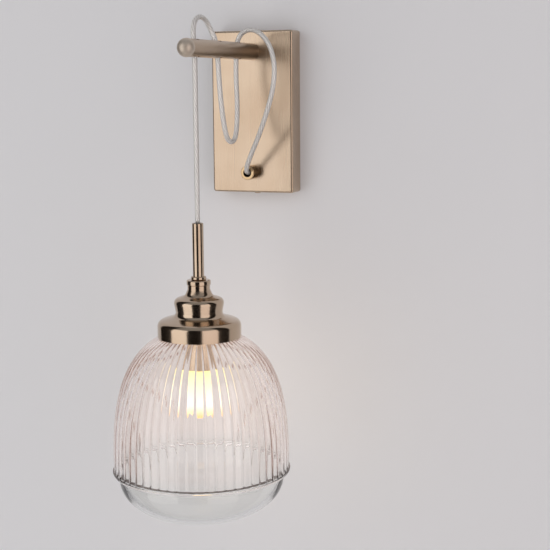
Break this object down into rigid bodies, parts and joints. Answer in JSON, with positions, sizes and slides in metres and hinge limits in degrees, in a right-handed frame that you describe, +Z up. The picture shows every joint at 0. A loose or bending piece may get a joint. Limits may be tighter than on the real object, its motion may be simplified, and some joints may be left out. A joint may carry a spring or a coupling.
{
  "type": "hanging pendant wall light",
  "caption": "Brass wall light: flat plate, round arm with cord threaded through it, and a hanging ribbed clear glass shade under a stepped cap.",
  "frame": {"origin": "middle of the plate's back, on the wall", "axes": "+Y into the wall, -Y out into the room along the arm, +Z up, +X to the right of someone facing the wall"},
  "size_m": [0.153, 0.221, 0.4261],
  "materials": {
    "brass_plate": "satin antique brass sheet",
    "brass_arm": "satin antique brass bar",
    "brass_gland": "turned antique brass",
    "brass_cap": "spun antique brass",
    "brass_plain": "turned, plain",
    "steel": "zinc plated",
    "cord_jacket": "clear jacket over a tinned braid",
    "cores": "insulated cores",
    "white_plastic": "moulded nylon",
    "black_plastic": "moulded phenolic",
    "gasket_rubber": "soft ring",
    "shade_glass": "clear, ribbed",
    "bulb_glass": "frosted warm",
    "bulb_light": "glowing filaments"
  },
  "bodies": {
    "root": {"wall_bracket": "steel", "wall_plate": "brass_plate", "plate_screws": "brass_gland", "arm_rod": "brass_arm", "arm_end_ball": "brass_arm", "arm_washer": "steel", "arm_screw": "steel", "cord_gland": "brass_gland", "gland_nut": "brass_plain", "gland_bush": "white_plastic", "cord_tail": "cord_jacket", "core_wires": "cores", "terminal_block": "white_plastic", "terminal_barrels": "brass_plain", "terminal_screws": "steel", "block_screw": "steel", "earth_lug": "brass_plain", "earth_screw": "brass_plain", "cord_loops": "cord_jacket"},
    "cord_swing": {"cord_bend": "cord_jacket"},
    "hanging_cord": {"cord_drop": "cord_jacket"},
    "pendant": {"stem_bush": "white_plastic", "stem_cord": "cord_jacket", "stem_tube": "brass_cap", "stem_collar": "brass_cap", "cap_bell": "brass_cap", "earth_tag": "brass_plain", "cap_nut": "brass_plain", "holder_cap": "black_plastic", "holder_body": "black_plastic", "holder_sleeve": "brass_cap", "thread_shell": "brass_plain", "holder_contact": "brass_plain", "neck_band": "brass_plain"},
    "shade_lift": {"shade_gasket": "gasket_rubber"},
    "shade": {"shade_glass": "shade_glass"},
    "bulb_lift": {"bulb_tip": "steel"},
    "bulb": {"bulb_cap": "brass_plain", "bulb_skirt": "white_plastic", "bulb_glass": "bulb_glass", "bulb_filaments": "bulb_light"}
  },
  "joints": [
    {"name": "pendant_swing_side", "type": "hinge", "parent": "root", "child": "cord_swing", "pos_m": [0, -0.1445, 0.045], "axis": [0, 1, 0], "range_deg": [-25, 25]},
    {"name": "pendant_swing_out", "type": "hinge", "parent": "cord_swing", "child": "hanging_cord", "pos_m": [0, -0.1445, 0.045], "axis": [1, 0, 0], "range_deg": [-25, 10.5]},
    {"name": "pendant_twist", "type": "hinge", "parent": "hanging_cord", "child": "pendant", "pos_m": [0, -0.1445, 0.045], "axis": [0, 0, 1], "range_deg": [-90, 90]},
    {"name": "shade_drop", "type": "slide", "parent": "pendant", "child": "shade_lift", "axis": [0, 0, -1], "range_m": [0, 0.009]},
    {"name": "shade_unscrew", "type": "hinge", "parent": "shade_lift", "child": "shade", "pos_m": [0, -0.1445, -0.2], "axis": [0, 0, -1], "range_deg": [0, 1085]},
    {"name": "bulb_drop", "type": "slide", "parent": "pendant", "child": "bulb_lift", "axis": [0, 0, -1], "range_m": [0, 0.0141]},
    {"name": "bulb_unscrew", "type": "hinge", "parent": "bulb_lift", "child": "bulb", "pos_m": [0, -0.1445, -0.2], "axis": [0, 0, -1], "range_deg": [0, 1805]}
  ],
  "couplings": [
    {"joint": "shade_unscrew", "follows": "shade_drop", "rad_per_m": 2094.4},
    {"joint": "bulb_unscrew", "follows": "bulb_drop", "rad_per_m": 2228.1}
  ]
}
